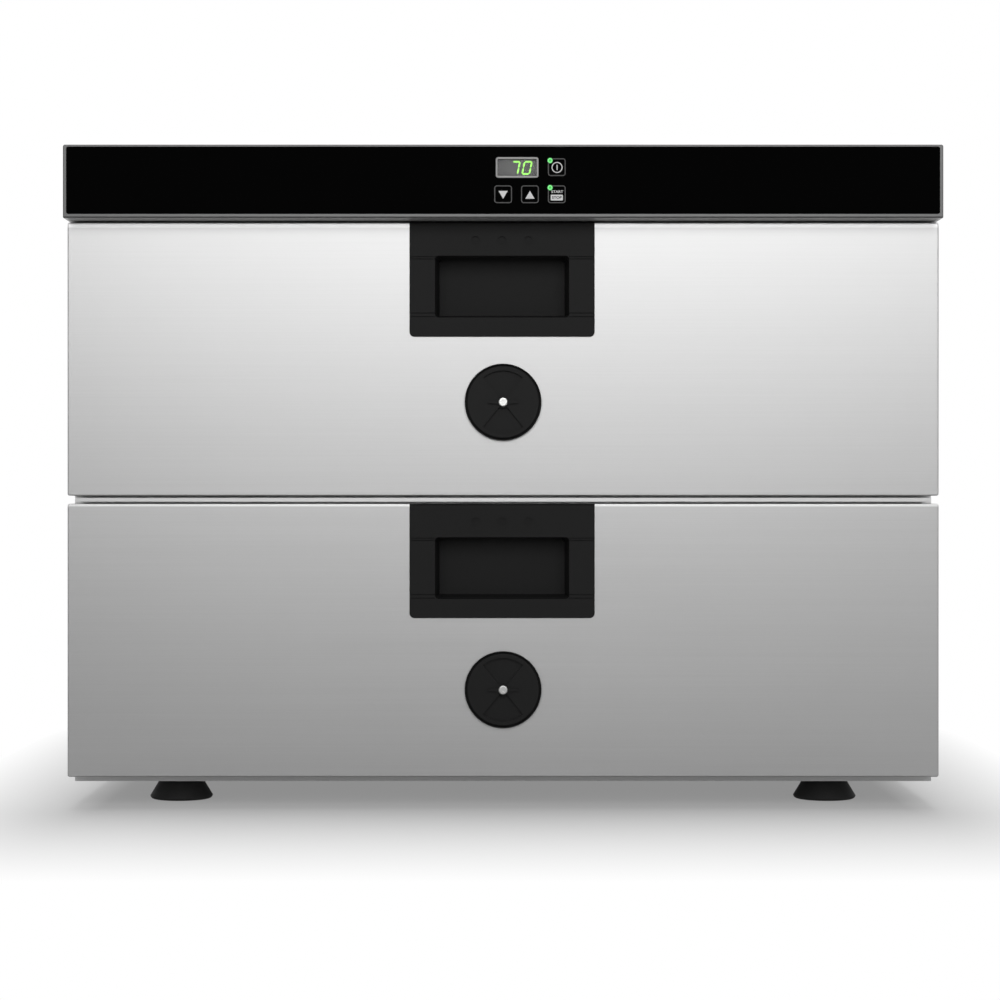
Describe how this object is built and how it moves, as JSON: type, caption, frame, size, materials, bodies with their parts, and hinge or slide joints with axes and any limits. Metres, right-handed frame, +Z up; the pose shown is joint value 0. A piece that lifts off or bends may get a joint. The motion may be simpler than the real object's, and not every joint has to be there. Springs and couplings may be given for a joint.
{
  "type": "two-drawer heated holding cabinet",
  "caption": "Countertop warming cabinet with stacked telescopic drawers holding catering pans, pocket handles, turnable vents and a keyed black control fascia.",
  "frame": {"origin": "on the table under the middle of the cabinet's box", "axes": "+Z up, +X to the right seen from the front, the drawers open towards -Y"},
  "size_m": [0.65, 0.5866, 0.4924],
  "materials": {
    "outer_steel": "brushed",
    "front_steel": "fine horizontal brush",
    "inner_steel": "mill finish",
    "pan_steel": "satin",
    "rail_steel": "zinc plated",
    "rivet_steel": "polished",
    "fastener_steel": "plain",
    "probe_steel": "drawn tube",
    "handle_plastic": "fine moulded texture",
    "vent_plastic": "fine moulded texture",
    "gland_plastic": "moulded",
    "fascia_gloss": "gloss",
    "key_gloss": "gloss",
    "bezel_grey": "satin",
    "display_lens": "smoked",
    "display_module": "matt",
    "indicator_green": "lit",
    "circuit_board": "solder mask",
    "component_black": "moulded",
    "terminal_plastic": "moulded",
    "transformer_iron": "varnished",
    "wire_insulation": "silicone",
    "mineral_wool": "fibrous",
    "heater_silicone": "silicone",
    "gasket_rubber": "soft",
    "foot_rubber": "moulded"
  },
  "bodies": {
    "cabinet": {"cabinet_shell": "outer_steel", "cable_gland": "gland_plastic", "control_board": "circuit_board", "control_fascia": "fascia_gloss", "control_hood": "outer_steel", "deck_plate": "inner_steel", "display_bezel": "bezel_grey", "display_lens": "display_lens", "display_module": "display_module", "feet": "foot_rubber", "foot_screws": "fastener_steel", "front_frame": "outer_steel", "indicator_lights": "indicator_green", "insulation_boards": "mineral_wool", "key_switches": "component_black", "lower_chamber": "inner_steel", "lower_heater_mat": "heater_silicone", "lower_outer_rails": "rail_steel", "power_board": "circuit_board", "rear_cover": "outer_steel", "rear_cover_screws": "fastener_steel", "safety_thermostat": "component_black", "temperature_probe": "probe_steel", "terminal_block": "terminal_plastic", "transformer": "transformer_iron", "upper_chamber": "inner_steel", "upper_heater_mat": "heater_silicone", "upper_outer_rails": "rail_steel", "wiring_loom": "wire_insulation"},
    "upper_drawer": {"upper_front_skin": "front_steel", "upper_front_backing": "inner_steel", "upper_front_core": "mineral_wool", "upper_front_gasket": "gasket_rubber", "upper_handle": "handle_plastic", "upper_vent_seat": "vent_plastic", "upper_vent_rivet": "rivet_steel", "upper_drawer_carrier": "inner_steel", "upper_drawer_screws": "fastener_steel", "upper_food_pan": "pan_steel", "upper_inner_rails": "rail_steel"},
    "upper_slide": {"upper_middle_rails": "rail_steel"},
    "upper_vent": {"upper_vent_disc": "vent_plastic"},
    "lower_drawer": {"lower_front_skin": "front_steel", "lower_front_backing": "inner_steel", "lower_front_core": "mineral_wool", "lower_front_gasket": "gasket_rubber", "lower_handle": "handle_plastic", "lower_vent_seat": "vent_plastic", "lower_vent_rivet": "rivet_steel", "lower_drawer_carrier": "inner_steel", "lower_drawer_screws": "fastener_steel", "lower_food_pan": "pan_steel", "lower_inner_rails": "rail_steel"},
    "lower_slide": {"lower_middle_rails": "rail_steel"},
    "lower_vent": {"lower_vent_disc": "vent_plastic"},
    "on_off_key": {"on_off_key": "key_gloss"},
    "down_key": {"down_key": "key_gloss"},
    "up_key": {"up_key": "key_gloss"},
    "start_stop_key": {"start_stop_key": "key_gloss"}
  },
  "joints": [
    {"name": "upper_drawer_slide", "type": "slide", "parent": "cabinet", "child": "upper_drawer", "axis": [0, -1, 0], "range_m": [0, 0.36]},
    {"name": "upper_slide_half", "type": "slide", "parent": "cabinet", "child": "upper_slide", "axis": [0, -1, 0], "range_m": [0, 0.18]},
    {"name": "upper_vent_turn", "type": "hinge", "parent": "upper_drawer", "child": "upper_vent", "pos_m": [0, -0.2727, 0.3029], "axis": [0, -1, 0], "range_deg": [0, 90]},
    {"name": "lower_drawer_slide", "type": "slide", "parent": "cabinet", "child": "lower_drawer", "axis": [0, -1, 0], "range_m": [0, 0.36]},
    {"name": "lower_slide_half", "type": "slide", "parent": "cabinet", "child": "lower_slide", "axis": [0, -1, 0], "range_m": [0, 0.18]},
    {"name": "lower_vent_turn", "type": "hinge", "parent": "lower_drawer", "child": "lower_vent", "pos_m": [0, -0.2727, 0.0887], "axis": [0, -1, 0], "range_deg": [0, 90]},
    {"name": "on_off_key_press", "type": "slide", "parent": "cabinet", "child": "on_off_key", "axis": [0, 1, 0], "range_m": [0, 0.0005], "stiffness_N_per_m": 300, "springref_m": -0.0003},
    {"name": "down_key_press", "type": "slide", "parent": "cabinet", "child": "down_key", "axis": [0, 1, 0], "range_m": [0, 0.0005], "stiffness_N_per_m": 300, "springref_m": -0.0003},
    {"name": "up_key_press", "type": "slide", "parent": "cabinet", "child": "up_key", "axis": [0, 1, 0], "range_m": [0, 0.0005], "stiffness_N_per_m": 300, "springref_m": -0.0003},
    {"name": "start_stop_key_press", "type": "slide", "parent": "cabinet", "child": "start_stop_key", "axis": [0, 1, 0], "range_m": [0, 0.0005], "stiffness_N_per_m": 300, "springref_m": -0.0003}
  ],
  "couplings": [
    {"joint": "upper_slide_half", "follows": "upper_drawer_slide", "ratio": 0.5},
    {"joint": "lower_slide_half", "follows": "lower_drawer_slide", "ratio": 0.5}
  ]
}
